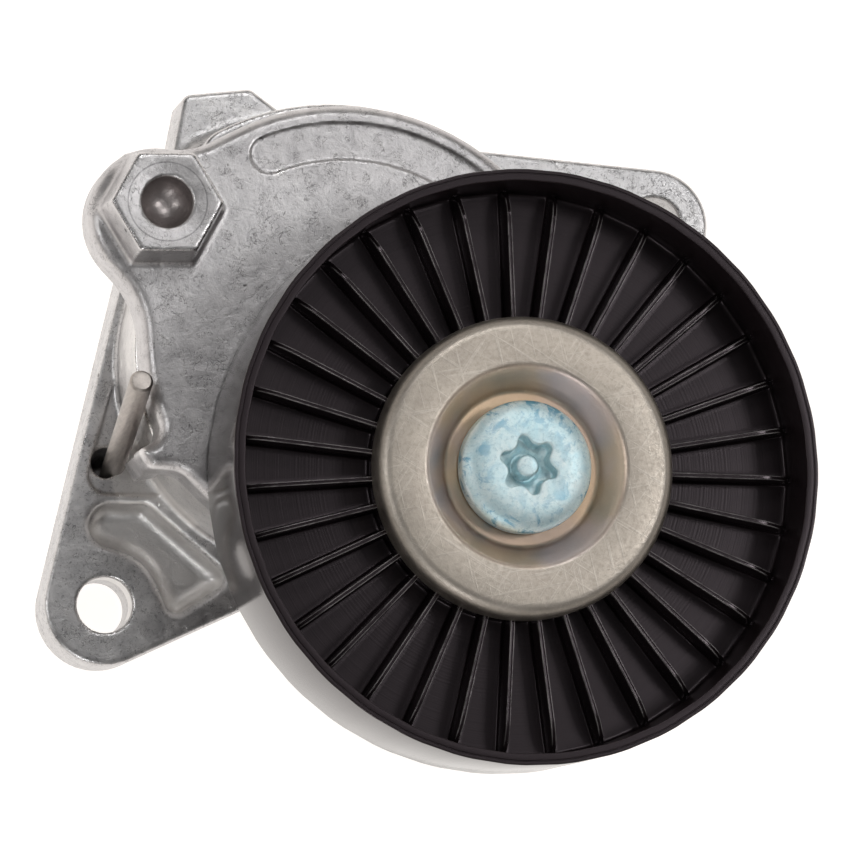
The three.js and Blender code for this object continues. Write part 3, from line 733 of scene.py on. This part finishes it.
# ------------------------------------------------------------------ cast housing
def housing():
    low_ear, right_ear = EAR_HOLES
    plate_edge, drum_edge = 0.75, 0.5
    shaft_seat_r, shaft_hole_r, pin_hole_r = 12.5, 7.8, 2.25
    plate = Plan(chain([
        (*low_ear, 9.4), (0, 0, DRUM_R - 2.2), (*right_ear, 8.8), (0.5, 40.3, -3),
        (-9.95, 42.96, 1.2), (-18.98, 41.63, 1.6), (-27.9, 36.3, -6), (-21.27, 18.18, 8),
    ]))
    pocket = Plan(chain([
        (-22.9, -36.1, 1.8), (-17.4, -32.6, 1.8), (-28.2, -23.5, 2.2), (-33, -24.4, 3.2),
        (*low_ear, -8.9),
    ]))
    shoulder = Plan(ring_sector(DRUM_BORE_R + 0.5, 38.6, 62, 118))
    spot = Plan(chain([
        (-33.4, -16.6, 3.0), (-24.5, -15.6, 4.2), (-27, -3, 4), (-31.2, -1.8, 0.8),
    ]))
    foot = np.array([PIN_LOW[0] + 1.2, PIN_LOW[1] + 1.7, PIN_LOW[2]])

    def field(x, y, z):
        column = drum(x, y, DRUM_R) + 0 * z
        body = round_pair(plate(x, y), z - PLATE_TOP, plate_edge)
        body = cut(body, slab(spot(x, y), z, PLATE_TOP - 0.5, PLATE_TOP + 6, 0.2, 0.2), 0.2)
        body = join(body, column, 1.2)
        body = join(body, shoulder(x, y) + 0 * z, 3.0)
        body = cut(body, slab(pocket(x, y), z, PLATE_TOP - 3.6, PLATE_TOP + 9, 0.3, 2.6), 1.2)
        body = round_pair(body, z - DRUM_TOP, drum_edge)
        body = round_pair(body, -z, 0.7)
        body = cut(body, slab(drum(x, y, DRUM_BORE_R), z, 4, DRUM_TOP + 6, 0.3, 1.5), 0.4)
        body = join(body, slab(drum(x, y, shaft_seat_r), z, 1.2, 9.8), 1.0)
        body = cut(body, slab(drum(x, y, shaft_hole_r), z, 1.2, DRUM_TOP, 0.3, 0.3), 0.4)
        for cx, cy in EAR_HOLES:
            body = cut(body, drum(x, y, EAR_HOLE_R, cx, cy) + 0 * z, 0.3)
        pin_hole = leaning(x, y, z, foot, PIN_AXIS, pin_hole_r)
        body = cut(body, np.maximum(pin_hole, PIN_LOW[2] - GAP - z), 0.2)
        groove = np.maximum(drum(x, y, 26), -drum(x, y, 15.5))
        return cut(body, slab(groove, z, -5, 1.0, 0.5, 0.3), 0.4)

    place(cast("housing_casting", field, HOUSING_LOW, HOUSING_HIGH, HOUSING_METAL),
          "housing", "base_housing")


# ------------------------------------------------------------------ tensioner arm
def arm():
    hex_x, hex_y = HEX_CENTRE
    disc_r = 31.3
    head_r = ARM_HIGH[1]
    bearing_seat_r, bush_hole_r, bolt_hole_r = 11.3, 9.6, 5.3
    ring_recess_r, ring_recess_z = 12.2, 33.6
    plan = Plan(chain([
        (0, 0, head_r), (-25.2, 39.8, -9.9), (hex_x - 0.2, hex_y - 1, 10.6), (-45.3, 1.3, -13.9),
        (0, 0, disc_r), (-31.9, -12.4, -2.8), (-31.4, -16.1, 0.8), (-30.3, -17.8, 0.8),
        (-27.9, -22.7, -3.9), (0, 0, disc_r + 0.6), (*AXIS, 15),
    ]))
    tooth_turn = np.radians([206.2, 206.2, 211.4, 213.4])
    tooth_r = np.array([32.1, 35.3, 35.3, 32.1])
    tooth = Plan(np.stack([tooth_r * np.cos(tooth_turn), tooth_r * np.sin(tooth_turn)], 1))
    kidney = Plan(ring_sector(28.4, 34.2, 36, 112))
    kidney_depth = 0.28
    apothem, draft = 7.35, 0.9 / 8.1
    recess_r, lead_r, lead_slope, lead_gain = 3.9, 5.65, 4.6, 4.7

    def hexagon(x, y, z):
        slope = math.cos(math.atan(draft))
        reach = 0
        for a in np.radians([30, 90, 150]):
            flat = (x - hex_x) * math.cos(a) + (y - hex_y) * math.sin(a)
            reach = np.maximum(reach, np.abs(flat))
        sides = (reach - apothem - draft * (HEX_TOP - z)) * slope
        return round_pair(round_pair(sides, z - HEX_TOP, 0.45), ARM_TOP - 2 - z, 0.2)

    def recess(x, y, z):
        r = np.hypot(x - hex_x, y - hex_y)
        depth = HEX_TOP - z
        bowl = np.sqrt(r * r + (depth - 0.5) ** 2) - recess_r
        lead = (r - lead_r + lead_slope * depth) / lead_gain
        return np.minimum(bowl, lead)

    def field(x, y, z):
        body = slab(plan(x, y), z, ARM_BOTTOM, ARM_TOP, 1.9, 0.5)
        body = join(body, slab(drum(x, y, 13), z, 10.2, ARM_BOTTOM + 1, 0.3, 0.5), 1.0)
        skirt = np.maximum(drum(x, y, 26.6), -drum(x, y, 24.4))
        body = join(body, slab(skirt, z, 20, ARM_BOTTOM + 1, 0.3, 0.5), 0.6)
        body = join(body, slab(tooth(x, y), z, 16, ARM_TOP - 1, 0.4, 0.4), 0.3)
        hollow = slab(kidney(x, y), z, ARM_TOP - kidney_depth, ARM_TOP + 5, 0.1, 0.15)
        body = cut(body, hollow, 0.12)
        body = join(body, hexagon(x, y, z), 0.9)
        body = cut(body, recess(x, y, z), 0.75)
        seat = slab(drum(x, y, bearing_seat_r, *AXIS), z, ARM_TOP - 1, HUB_BACK, 0.4, 0.3)
        body = join(body, seat, 1.2)
        body = cut(body, drum(x, y, bolt_hole_r, *AXIS) + 0 * z, 0.3)
        body = cut(body, drum(x, y, bush_hole_r) + 0 * z, 0.3)
        return cut(body, np.maximum(drum(x, y, ring_recess_r), ring_recess_z - z), 0.3)

    place(cast("arm_casting", field, ARM_LOW, ARM_HIGH, ARM_METAL),
          "arm", "tension_arm")


# ------------------------------------------------------------------ ribbed pulley
RIB_TOP, RIB_END, REAR_RIB_BOTTOM = HUB_FRONT - 0.2, WEB_FRONT + 1.1, WEB_BACK - 6.0
# Where the ribs start to roll down towards the rim, and where their bases stop narrowing.
ROLL_R = 37.0
SPREAD_R = 24.0
# Half of a rib's cross-section: distance from its middle plane, then the height, as a share
# of the way from the web to the crest, plus millimetres.
HALF_RIB = [
    (0.0, 1.0, -0.02), (0.13, 1.0, -0.01), (0.21, 1.0, 0.0), (0.28, 1.0, -0.03),
    (0.33, 1.0, -0.1), (0.36, 1.0, -0.25), (0.42, 0.5, 0.0), (0.47, 0.0, 0.6),
    (0.52, 0.0, 0.33), (0.6, 0.0, 0.15), (0.7, 0.0, 0.05), (0.84, 0.0, 0.0),
    (1.5, 0.0, 0.0),
]


def pulley():
    section = [(-s, f, d) for s, f, d in HALF_RIB[:0:-1]] + HALF_RIB
    offset, share, extra = np.array(section).T
    starts = RIB_PHASE + RIB_PITCH * np.arange(RIBS)

    def row(r, z, spread_r=None):
        """One ring of points: z is a height, or one height for each point of a section."""
        spread = offset / max(spread_r or r, SPREAD_R)
        angle = (starts[:, None] + spread[None, :]).ravel()
        return round_row(r, np.tile(np.broadcast_to(z, offset.shape), RIBS), angle, AXIS)

    def front(r):
        floor = WEB_FRONT + fillet_rise(r)
        roll = max(0.0, (r - ROLL_R) / (RIM_INNER_R - ROLL_R))
        crest = RIB_TOP - (RIB_TOP - RIB_END) * (1 - math.sqrt(max(0.0, 1 - roll ** 2.2)))
        lift = share * (crest - floor) + extra
        return floor + np.clip(lift, 0, None)

    def rear(r):
        floor = WEB_BACK - fillet_rise(r)
        end = min((r - HUB_R) / 2, (RIM_INNER_R - r) / 2, 1.0)
        crest = REAR_RIB_BOTTOM + 2 * (1 - max(end, 0)) ** 2
        lift = share * (floor - crest) + extra
        return floor - np.clip(lift, 0, None)

    def fillet_rise(r, size=0.6):
        gap = min(r - HUB_R, RIM_INNER_R - r)
        if gap >= size:
            return 0.0
        return size - math.sqrt(max(0.0, size ** 2 - (size - gap) ** 2))

    near_hub = [HUB_R + step for step in (0, 0.04, 0.14, 0.32, 0.6)]
    web = [24, 26.5, 29, 31.5, 34, 36, 37, 37.8, 38.6, 39.3, 39.9, 40.4, 40.9, 41.3]
    near_rim = [RIM_INNER_R - step for step in (0.6, 0.4, 0.24, 0.12, 0.04, 0)]
    radii = near_hub + web + near_rim
    bore_r, lip_r, lip = 20.05, 18.8, 1.2
    rows = [row(bore_r + 0.5, HUB_FRONT), row(HUB_R - 0.4, HUB_FRONT),
            row(HUB_R - 0.15, HUB_FRONT - 0.05), row(HUB_R - 0.03, HUB_FRONT - 0.16)]
    rows += [row(r, front(r)) for r in radii]
    line = WHEEL_FRONT - 0.14
    wall = filleted([
        (RIM_INNER_R, WEB_FRONT + 3.6, 0), (RIM_INNER_R + 0.05, WHEEL_FRONT, 0.16),
        (WHEEL_R - 0.74, WHEEL_FRONT, 0.04), (WHEEL_R - 0.68, line, 0.04),
        (WHEEL_R - 0.56, line, 0.04), (WHEEL_R - 0.5, WHEEL_FRONT, 0.04),
        (WHEEL_R, WHEEL_FRONT, 0.16), (WHEEL_R, WHEEL_BACK, 0.6),
        (RIM_INNER_R + 0.12, WHEEL_BACK, 0.35), (RIM_INNER_R, WEB_BACK - 3.6, 0),
    ])
    rows += [row(r, z, RIM_INNER_R) for r, z in wall]
    rows += [row(r, rear(r)) for r in radii[::-1]]
    inner = filleted([
        (HUB_R, HUB_BACK + 0.8, 0), (HUB_R, HUB_BACK, 0.4), (lip_r, HUB_BACK, 0.25),
        (lip_r, HUB_BACK + lip, 0.1), (bore_r, HUB_BACK + lip, 0.1), (bore_r, HUB_FRONT, 0.25),
        (bore_r + 0.45, HUB_FRONT, 0),
    ])
    rows += [row(r, z, SPREAD_R) for r, z in inner]
    place(rows_mesh("pulley_moulding", rows[::-1], BLACK, close_rows=True),
          "pulley", "pulley_wheel")


# ------------------------------------------------------------------ cap, bolt and pin
def cap():
    top = CAP_HIGH[2]
    rim = CAP_LOW[2]
    r = (CAP_HIGH[0] - CAP_LOW[0]) / 2
    sheet = 1.1
    floor = top - 4.3
    under = floor - sheet
    hole = 5.4
    corners = [
        (8.0, under, 0), (11.5, under, 1.0), (15.6, top - sheet, 1.2),
        (r - sheet - 0.1, top - sheet, 1.0), (r - sheet, rim, 0.1), (r, rim, 0.3), (r, top, 2.2),
        (DISH_R, top, 1.3), (DISH_FLOOR_R, floor, 1.0), (hole, floor, 0.3), (hole, under, 0.3),
        (7.99, under, 0),
    ]
    place(turned("pressed_cap", corners, ZINC, AXIS, 224), "arm", "dust_cap")


def bolt():
    top, tip = BOLT_HIGH[2], BOLT_LOW[2]
    head = (BOLT_HIGH[0] - BOLT_LOW[0]) / 2
    under = top - 4.9
    shank = 5.0
    dome_drop, dome_flat_r = 2.1, 5.6
    floor = top - 3.3
    lobes, lobe_turn = 6, 41.5
    lobe_at, lobe_r, notch_at, notch_r = 3.56, 0.87, 4.6, 1.4
    angle = full_turn(264)
    circles = []
    for k in range(lobes):
        for at, r, degrees in ((lobe_at, lobe_r, lobe_turn), (notch_at, -notch_r, lobe_turn + 30)):
            a = math.radians(degrees + 360 / lobes * k)
            circles.append((at * math.cos(a), at * math.sin(a), r))
    socket = chain(circles, math.radians(8))
    turn = np.arctan2(socket[:, 1], socket[:, 0])
    order = np.argsort(turn)
    star = np.interp(angle, turn[order] % (2 * math.pi), np.hypot(*socket.T)[order],
                     period=2 * math.pi)
    rings = [(1.2, tip), *filleted([
        (2.0, tip, 0), (shank - 0.8, tip, 0.2), (shank, tip + 0.9, 0.3), (shank, under, 0.3),
        (head - 0.1, under, 0.2), (head, under + 1.2, 0.5), (head, top - dome_drop, 0)])]
    rings += [(head - (head - dome_flat_r) * (1 - math.cos(t)),
               top - dome_drop * (1 - math.sin(t) ** 0.8))
              for t in np.linspace(0.12, math.pi / 2, 14)]
    rings += [(star + 0.4, top), (star + 0.1, top - 0.02), (star, top - 0.12),
              (star - 0.02, floor + 0.5), (star - 0.12, floor + 0.15), (star - 0.4, floor)]
    # The post that stands in the socket.
    rings += [(2.4, floor - 0.05), (2.2, floor - 0.5), (1.95, floor - 0.7), (1.7, floor - 0.5),
              (1.68, top - 1.15), (1.56, top - 0.94), (1.2, top - 0.88)]
    rows = [round_row(r, z, angle, AXIS) for r, z in rings]
    place(rows_mesh("bolt_body", rows, BLUE), "arm", "pulley_bolt")


def pin():
    r = 1.75
    spread = 2 * r * math.hypot(PIN_AXIS.x, PIN_AXIS.y)
    half = ((PIN_HIGH[2] - PIN_LOW[2] - spread) / PIN_AXIS.z + 0.6) / 2
    path = filleted([(0.6, -half, 0), (r - 0.35, -half, 0.1), (r, -half + 0.5, 0.2),
                     (r, half - 0.4, 0.15), (r - 0.35, half, 0.12), (0.6, half, 0)])
    lean = np.array(Vector((0, 0, 1)).rotation_difference(PIN_AXIS).to_matrix())
    angle = full_turn(64)
    rows = [round_row(radius, z, angle) @ lean.T + (PIN_LOW + PIN_HIGH) / 2 for radius, z in path]
    place(rows_mesh("steel_pin", rows, STEEL), "pin", "lock_pin")


# ------------------------------------------------------------------ hidden pieces
BALL_R = 3.37
BALL_PITCH_R = 14.25


def bearing_rings():
    (_, _, bottom), (_, _, top) = box_mm("bearing_inner_ring")
    low, high = box_mm("bearing_outer_ring")
    middle = (bottom + top) / 2
    groove_r = BALL_R + 0.22
    bore, in_shoulder, out_shoulder, outer = 8.5, 12.1, 16.5, (high[0] - low[0]) / 2

    def groove(side, shoulder):
        reach = math.acos(abs(shoulder - BALL_PITCH_R) / groove_r)
        return [(BALL_PITCH_R - side * groove_r * math.cos(a), middle + groove_r * math.sin(a), 0)
                for a in np.linspace(-reach, reach, 17)]

    inner = [(10, bottom, 0), (in_shoulder, bottom, 0.3), *groove(1, in_shoulder),
             (in_shoulder, top, 0.3), (bore, top, 0.5), (bore, bottom, 0.5), (9.99, bottom, 0)]
    place(turned("inner_race", inner, BEARING_STEEL, AXIS),
          "arm", "bearing_inner_ring")
    race = [(18, bottom, 0), (outer, bottom, 0.5), (outer, top, 0.5), (out_shoulder, top, 0.3),
            *groove(-1, out_shoulder)[::-1], (out_shoulder, bottom, 0.3), (17.99, bottom, 0)]
    place(turned("outer_race", race, BEARING_STEEL, AXIS),
          "pulley", "bearing_outer_ring")


def bearing_seals():
    for node in ("bearing_seal_front", "bearing_seal_rear"):
        (_, _, bottom), (_, _, top) = box_mm(node)
        piece = ring(node + "_disc", 12.5, 16.2, bottom, top, RUBBER, AXIS, 0.15)
        place(piece, "pulley", node)


def bearing_balls():
    angle = full_turn(40)
    latitudes = np.linspace(-math.pi / 2, math.pi / 2, 25)[1:-1]
    for i, node in enumerate(BALLS, 1):
        low, high = box_mm(node)
        centre = (low + high) / 2
        rows = [round_row(BALL_R * math.cos(a), centre[2] + BALL_R * math.sin(a), angle, centre)
                for a in latitudes]
        place(rows_mesh(f"steel_ball_{i}", rows, BEARING_STEEL), "ball_set", node)


def spring():
    """Round wire wound in the drum."""
    low, high = box_mm("torsion_spring")
    wire = 2.1
    mean = high[0] - wire
    turns = 3.8
    bottom, top = low[2] + wire, high[2] - wire
    curve = bpy.data.curves.new("spring_wire", "CURVE")
    curve.dimensions = "3D"
    curve.bevel_depth = wire * MM
    curve.bevel_resolution = 6
    curve.use_fill_caps = True
    spline = curve.splines.new("POLY")
    count = 240
    spline.points.add(count)
    for i in range(count + 1):
        t = i / count
        a = 2 * math.pi * turns * t
        place_mm = Vector((mean * math.cos(a), mean * math.sin(a), bottom + (top - bottom) * t))
        spline.points[i].co = (*place_mm * MM, 1)
    obj = bpy.data.objects.new("spring_wire", curve)
    bpy.context.scene.collection.objects.link(obj)
    curve.materials.append(SPRING_STEEL)
    place(obj, "housing", "torsion_spring")


def cage():
    low, high = box_mm("bearing_cage")
    middle = (low[2] + high[2]) / 2
    inner, outer, half_height = 12.7, 15.9, 4.3
    pocket_r = BALL_R + 0.25
    centres = [sum(box_mm(node)) / 2 for node in BALLS]

    def field(x, y, z):
        r = np.hypot(x - AXIS[0], y - AXIS[1])
        body = round_pair(np.maximum(r - outer, inner - r), np.abs(z - middle) - half_height, 0.3)
        for cx, cy, cz in centres:
            pocket = np.sqrt((x - cx) ** 2 + (y - cy) ** 2 + (z - cz) ** 2) - pocket_r
            body = cut(body, pocket, 0.15)
        return body

    place(cast("ball_cage", field, low, high, LINER, 0.4),
          "ball_set", "bearing_cage")


# node, body, slot, material, inner and outer radius, axis
PIVOT = (0, 0)
TURNED_RINGS = [
    ("spring_seat", "housing", "liner_plastic", LINER, 15.2, 26.4, PIVOT),
    ("damping_ring", "housing", "liner_plastic", LINER, 26.9, 28.3, PIVOT),
    ("retaining_ring", "housing", "spring_steel", SPRING_STEEL, 6.8, 10.4, PIVOT),
    ("pivot_bush", "arm", "bronze", BRONZE, 7.58, 9.3, PIVOT),
    ("thrust_washer", "arm", "bronze", BRONZE, 7.6, 11.9, PIVOT),
    ("bearing_spacer", "arm", "plain_steel", STEEL, 5.4, 8.2, AXIS),
    ("rear_dust_shield", "arm", "zinc_plate", ZINC, 5.4, 18.4, AXIS),
]


def plain_rings():
    for node, body, slot, material, inner, outer, at in TURNED_RINGS:
        (_, _, bottom), (_, _, top) = box_mm(node)
        edge = min(0.25, (top - bottom) * 0.3)
        piece = ring(node + "_turned", inner, outer, bottom, top, material, at, edge)
        place(piece, body, node)


def pivot_shaft():
    (_, _, bottom), (_, _, top) = box_mm("pivot_shaft")
    r, groove_r, groove_low, groove_high = 7.5, 6.5, 35.2, 36.1
    profile = [
        (2, bottom, 0), (r, bottom, 0.5), (r, groove_low, 0.1), (groove_r, groove_low, 0.1),
        (groove_r, groove_high, 0.1), (r, groove_high, 0.1), (r, top, 0.4), (2, top, 0)]
    place(turned("pivot_shaft_turned", profile, STEEL, closed=False),
          "housing", "pivot_shaft")


# ------------------------------------------------------------------ studio
# Sky colour by the sine of its elevation: bright at the horizon, a dark band, a soft ceiling.
SKY = [
    (0.0, (1.0, 0.95, 0.90)), (0.22, (0.95, 0.91, 0.87)), (0.36, (0.12, 0.115, 0.11)),
    (0.80, (0.11, 0.11, 0.11)), (0.95, (0.15, 0.15, 0.15)),
]
# name, position in metres, side in metres, watts
SOFTBOXES = [
    ("ceiling", (0.36, 0.42, 1.30), 0.9, 0.95),
    ("left", (-0.90, 0.05, 0.95), 0.24, 1.9),
    ("right", (0.64, 0.06, 1.15), 0.28, 2.6),
    ("back", (0.10, 0.68, 1.08), 0.26, 2.0),
    ("front", (-0.38, -0.95, 0.85), 0.24, 1.9),
]


def studio():
    size = 2.4
    low = CAD_BOX[0][2] - 0.2 * MM
    corners = [(-size, -size, low), (size, -size, low), (size, size, low), (-size, size, low)]
    points = np.array(corners) / MM
    floor = mesh_object("studio_floor", points, [[0, 1, 2, 3]], pale_floor(), smooth=False)
    world = bpy.data.worlds.new("studio")
    bpy.context.scene.world = world
    world.use_nodes = True
    tree = world.node_tree
    direction = tree.nodes.new("ShaderNodeTexCoord")
    split = tree.nodes.new("ShaderNodeSeparateXYZ")
    tree.links.new(direction.outputs["Generated"], split.inputs[0])
    sky = tree.nodes.new("ShaderNodeValToRGB")
    tree.links.new(split.outputs["Z"], sky.inputs[0])
    while len(sky.color_ramp.elements) < len(SKY):
        sky.color_ramp.elements.new(0.5)
    for element, (height, colour) in zip(sky.color_ramp.elements, SKY):
        element.position = height
        element.color = (*colour, 1)
    tree.links.new(sky.outputs[0], tree.nodes["Background"].inputs["Color"])
    target = Vector((*AXIS, WHEEL_FRONT)) * MM
    for name, place_m, size_m, power in SOFTBOXES:
        data = bpy.data.lights.new(name, "AREA")
        data.shape = "SQUARE"
        data.size = size_m
        data.energy = power
        lamp = bpy.data.objects.new(name, data)
        lamp.location = place_m
        lamp.rotation_euler = (target - Vector(place_m)).to_track_quat("-Z", "Y").to_euler()
        bpy.context.scene.collection.objects.link(lamp)
    bpy.context.scene.view_settings.view_transform = "Standard"


def camera():
    """Looks almost straight down, from the lower left."""
    away, aside, above = 0.7084, -0.015354, 0.005819
    towards = Vector((-0.22, -0.127, 1.0)).normalized()
    right = (Vector((1, 0, 0)) - towards * towards.x).normalized()
    up = towards.cross(right)
    focus = Vector((*AXIS, WHEEL_FRONT)) * MM
    data = bpy.data.cameras.new("camera")
    data.sensor_width = 36
    data.lens = 205.1
    data.clip_start = 0.01
    eye = bpy.data.objects.new("camera", data)
    basis = Matrix((right, up, towards)).transposed()
    eye.matrix_world = basis.to_4x4()
    eye.location = focus + towards * away + right * aside + up * above
    bpy.context.scene.collection.objects.link(eye)
    bpy.context.scene.camera = eye


camera()
studio()
housing()
arm()
pulley()
cap()
bolt()
pin()
bearing_rings()
bearing_seals()
bearing_balls()
cage()
spring()
plain_rings()
pivot_shaft()
